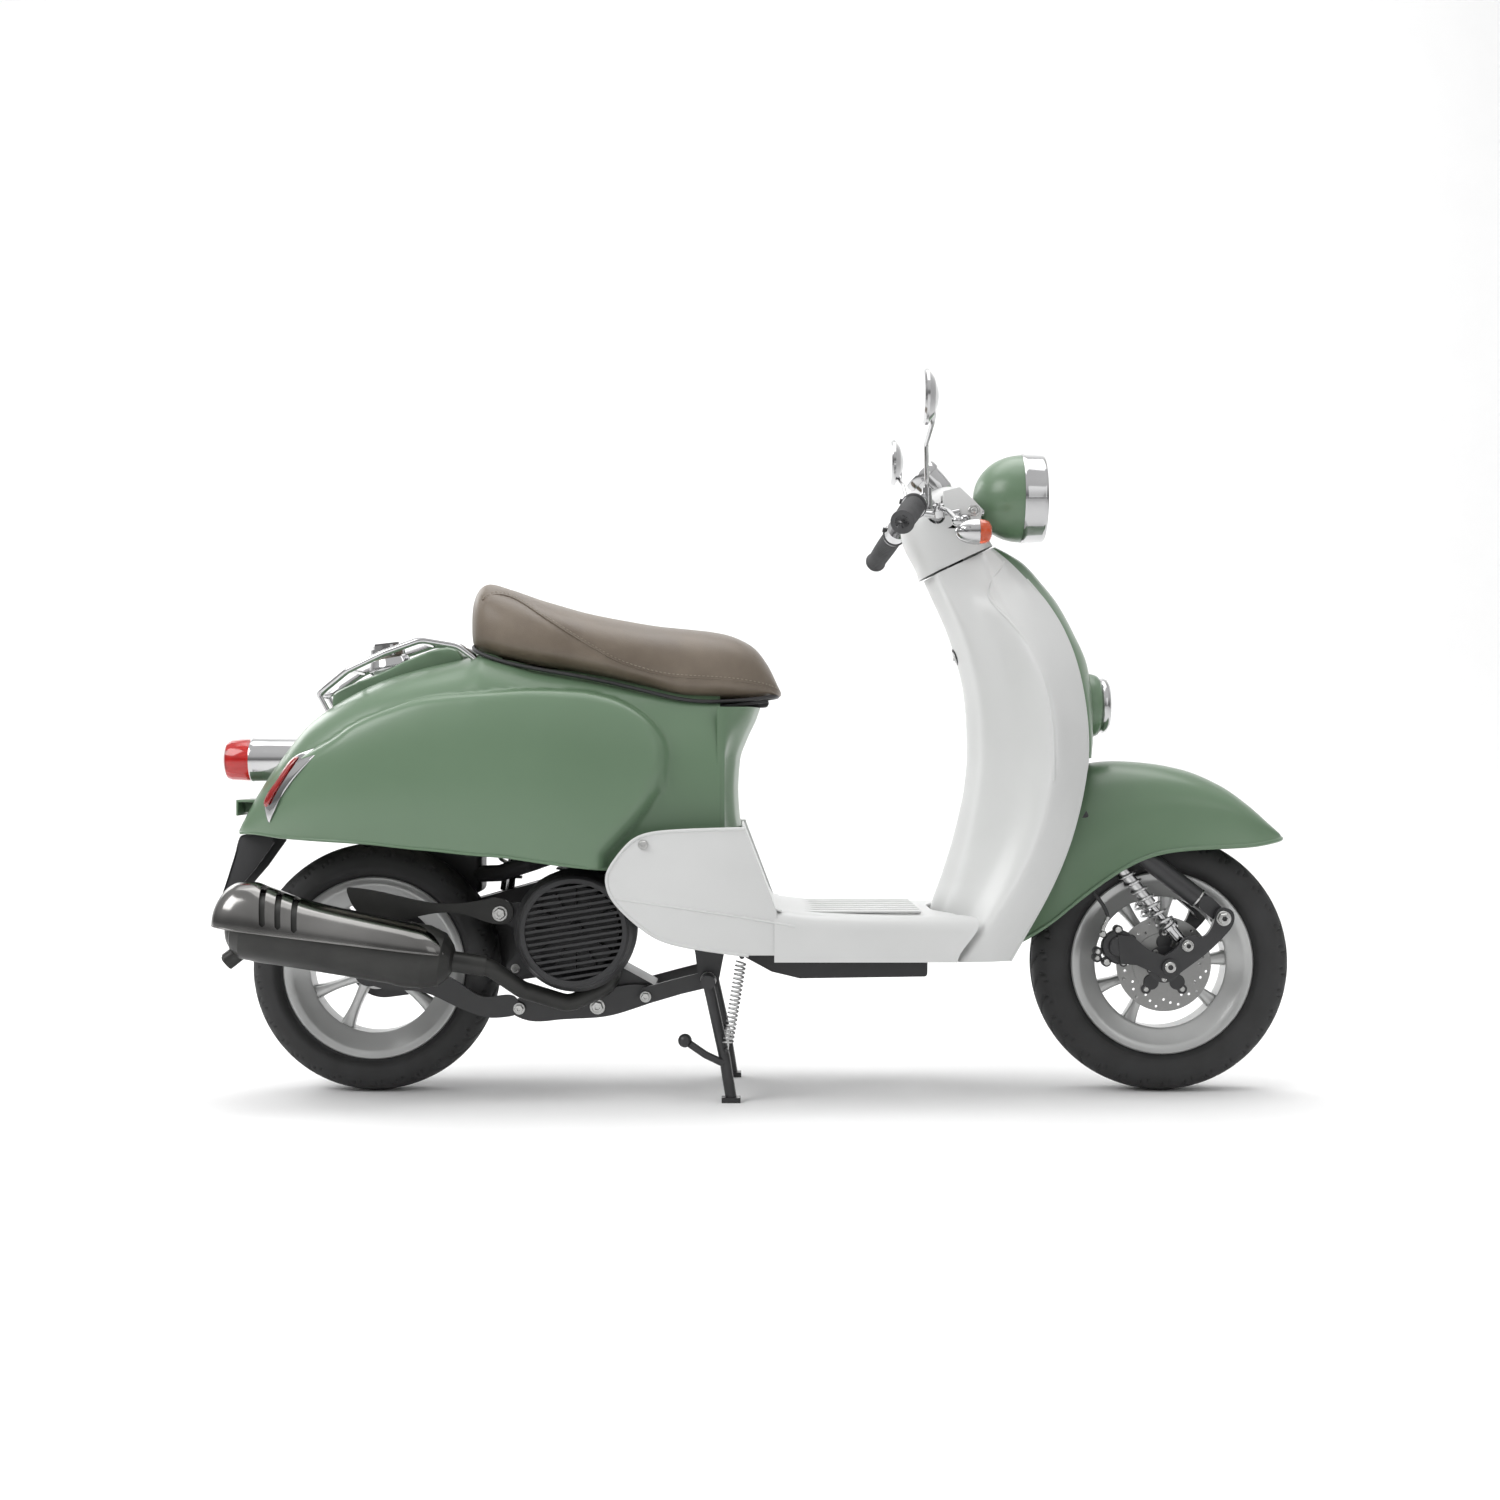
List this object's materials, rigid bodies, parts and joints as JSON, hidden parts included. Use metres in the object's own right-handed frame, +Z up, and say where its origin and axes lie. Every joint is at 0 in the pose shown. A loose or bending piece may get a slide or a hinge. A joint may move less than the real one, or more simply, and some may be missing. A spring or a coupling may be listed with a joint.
{
  "type": "moped scooter",
  "caption": "Retro step-through moped scooter with a stepped leather seat, leg shield, round headlamp, trailing-link fork, swinging engine and centre stand.",
  "frame": {"origin": "on the ground, under the middle of the overall length, on the centre plane", "axes": "+X forward (travel direction), +Y to the rider's left, +Z up"},
  "size_m": [1.748, 0.8138, 1.1235],
  "materials": {
    "green_paint": "gloss",
    "white_panel": "gloss",
    "black_plastic": "satin",
    "black_frame": "satin",
    "cast_alloy": "satin",
    "bright_chrome": "polished",
    "zinc_steel": "satin",
    "tyre_rubber": "matte",
    "grip_rubber": "matte",
    "seat_leather": "satin",
    "red_lens": "polished",
    "amber_lens": "polished",
    "clear_lens": "polished",
    "tank_plastic": "satin"
  },
  "bodies": {
    "chassis": {"main_frame": "black_frame", "leg_shield": "white_panel", "front_cover": "green_paint", "horn": "bright_chrome", "floor_board": "white_panel", "side_cover_right": "green_paint", "side_cover_left": "green_paint", "rear_deck": "green_paint", "seat_cowl": "green_paint", "rear_lamp_housings": "bright_chrome", "rear_lamp_lenses": "red_lens", "luggage_rack": "bright_chrome", "rear_mudguard": "black_plastic", "storage_box": "black_plastic", "fuel_tank": "tank_plastic"},
    "filler_cap": {"fuel_cap": "bright_chrome"},
    "lock_barrel": {"ignition_lock": "zinc_steel"},
    "seat": {"seat_cushion": "seat_leather", "seat_pan": "black_plastic"},
    "stand": {"centre_stand": "black_frame", "stand_spring": "zinc_steel"},
    "engine": {"crankcase": "cast_alloy", "fan_cowl": "black_plastic", "cylinder": "cast_alloy", "cvt_cover": "cast_alloy", "exhaust": "black_frame", "heat_shield": "bright_chrome", "right_swing_arm": "black_frame", "air_filter_box": "black_plastic"},
    "crankshaft": {"crank_and_fan": "zinc_steel"},
    "kick_starter": {"kick_lever": "black_frame"},
    "rear_wheel": {"rear_rim": "cast_alloy", "rear_tyre": "tyre_rubber"},
    "rear_damper": {"rear_shock_body": "black_frame", "rear_shock_spring": "black_frame"},
    "rear_damper_rod": {"rear_shock_rod": "bright_chrome"},
    "steering": {"steering_fork": "black_frame", "front_fender": "green_paint", "handlebar": "bright_chrome", "handlebar_cover": "white_panel", "headlamp_shell": "green_paint", "headlamp_rim": "clear_lens", "speedometer": "bright_chrome", "front_signals": "amber_lens", "left_grip": "grip_rubber"},
    "throttle": {"throttle_grip": "grip_rubber"},
    "lever_right": {"brake_lever_right": "black_frame"},
    "lever_left": {"brake_lever_left": "black_frame"},
    "mirror_r": {"mirror_right": "bright_chrome"},
    "mirror_l": {"mirror_left": "bright_chrome"},
    "starter": {"starter_button": "black_plastic"},
    "hooter": {"horn_button": "black_plastic"},
    "link": {"front_link": "cast_alloy", "brake_caliper": "black_frame"},
    "front_wheel": {"front_rim": "cast_alloy", "front_tyre": "tyre_rubber", "brake_disc": "zinc_steel"},
    "front_dampers": {"front_shock_bodies": "black_frame", "front_shock_springs": "zinc_steel"},
    "front_damper_rods": {"front_shock_rods": "bright_chrome"}
  },
  "joints": [
    {"name": "steering_turn", "type": "hinge", "parent": "chassis", "child": "steering", "pos_m": [0.33, 0, 0.865], "axis": [-0.4274, 0, 0.9041], "range_deg": [-40, 40]},
    {"name": "link_swing", "type": "hinge", "parent": "steering", "child": "link", "pos_m": [0.75, 0, 0.289], "axis": [0, 1, 0], "range_deg": [0, 10], "stiffness_Nm_per_rad": 350, "springref_deg": -5.16},
    {"name": "front_damper_tilt", "type": "hinge", "parent": "steering", "child": "front_dampers", "pos_m": [0.57, 0, 0.392], "axis": [0, 1, 0], "range_deg": [-1, 1]},
    {"name": "front_damper_stroke", "type": "slide", "parent": "front_dampers", "child": "front_damper_rods", "axis": [-0.6417, 0, 0.7669], "range_m": [0, 0.02], "deforming": ["front_shock_springs"]},
    {"name": "front_wheel_spin", "type": "hinge", "parent": "link", "child": "front_wheel", "pos_m": [0.663, 0, 0.211], "axis": [0, 1, 0], "continuous": true},
    {"name": "engine_swing", "type": "hinge", "parent": "chassis", "child": "engine", "pos_m": [-0.178, 0, 0.162], "axis": [0, 1, 0], "range_deg": [0, 4], "stiffness_Nm_per_rad": 4000, "springref_deg": -3.44},
    {"name": "rear_damper_tilt", "type": "hinge", "parent": "chassis", "child": "rear_damper", "pos_m": [-0.39, 0.106, 0.56], "axis": [0, 1, 0], "range_deg": [-3, 1]},
    {"name": "rear_damper_stroke", "type": "slide", "parent": "rear_damper", "child": "rear_damper_rod", "axis": [0.1386, 0, 0.9903], "range_m": [0, 0.025], "deforming": ["rear_shock_spring"]},
    {"name": "rear_wheel_spin", "type": "hinge", "parent": "engine", "child": "rear_wheel", "pos_m": [-0.624, 0, 0.203], "axis": [0, 1, 0], "continuous": true},
    {"name": "crank_spin", "type": "hinge", "parent": "engine", "child": "crankshaft", "pos_m": [-0.288, 0, 0.272], "axis": [0, 1, 0], "continuous": true},
    {"name": "kick_start", "type": "hinge", "parent": "engine", "child": "kick_starter", "pos_m": [-0.4, 0.16, 0.25], "axis": [0, 1, 0], "range_deg": [-55, 0], "stiffness_Nm_per_rad": 2, "springref_deg": 22.92},
    {"name": "stand_fold", "type": "hinge", "parent": "chassis", "child": "stand", "pos_m": [-0.077, 0, 0.19], "axis": [0, 1, 0], "range_deg": [0, 68], "stiffness_Nm_per_rad": 6, "springref_deg": -28.65, "deforming": ["stand_spring"]},
    {"name": "seat_open", "type": "hinge", "parent": "chassis", "child": "seat", "pos_m": [0.014, 0, 0.636], "axis": [0, 1, 0], "range_deg": [0, 78]},
    {"name": "filler_cap_turn", "type": "hinge", "parent": "chassis", "child": "filler_cap", "pos_m": [-0.607, 0, 0.7135], "axis": [-0.1121, 0, 0.9937], "range_deg": [0, 90]},
    {"name": "key_turn", "type": "hinge", "parent": "chassis", "child": "lock_barrel", "pos_m": [0.329, 0, 0.7108], "axis": [0.9381, 0, 0.3464], "range_deg": [0, 90]},
    {"name": "throttle_twist", "type": "hinge", "parent": "steering", "child": "throttle", "pos_m": [0.2437, -0.215, 0.9368], "axis": [-0.2074, -0.9319, -0.2974], "range_deg": [0, 70], "stiffness_Nm_per_rad": 0.4, "springref_deg": -22.92},
    {"name": "brake_lever_right_pull", "type": "hinge", "parent": "steering", "child": "lever_right", "pos_m": [0.283, -0.203, 0.936], "axis": [0.1192, 0.2777, -0.9532], "range_deg": [0, 18], "stiffness_Nm_per_rad": 1, "springref_deg": -17.19},
    {"name": "brake_lever_left_pull", "type": "hinge", "parent": "steering", "child": "lever_left", "pos_m": [0.283, 0.203, 0.936], "axis": [-0.1192, 0.2777, 0.9532], "range_deg": [0, 18], "stiffness_Nm_per_rad": 1, "springref_deg": -17.19},
    {"name": "mirror_right_swivel", "type": "hinge", "parent": "steering", "child": "mirror_r", "pos_m": [0.266, -0.186, 0.962], "axis": [0, 0, 1], "range_deg": [-25, 25]},
    {"name": "mirror_left_swivel", "type": "hinge", "parent": "steering", "child": "mirror_l", "pos_m": [0.266, 0.186, 0.962], "axis": [0, 0, 1], "range_deg": [-25, 25]},
    {"name": "starter_press", "type": "slide", "parent": "steering", "child": "starter", "axis": [0.9701, 0, -0.2425], "range_m": [0, 0.003], "stiffness_N_per_m": 600, "springref_m": -0.001},
    {"name": "horn_press", "type": "slide", "parent": "steering", "child": "hooter", "axis": [0.9701, 0, -0.2425], "range_m": [0, 0.003], "stiffness_N_per_m": 600, "springref_m": -0.001}
  ],
  "couplings": [
    {"joint": "front_damper_tilt", "follows": "link_swing", "ratio": -0.03},
    {"joint": "front_damper_stroke", "follows": "link_swing", "m_per_rad": 0.0712},
    {"joint": "rear_damper_tilt", "follows": "engine_swing", "ratio": -0.5},
    {"joint": "rear_damper_stroke", "follows": "engine_swing", "m_per_rad": 0.262}
  ]
}
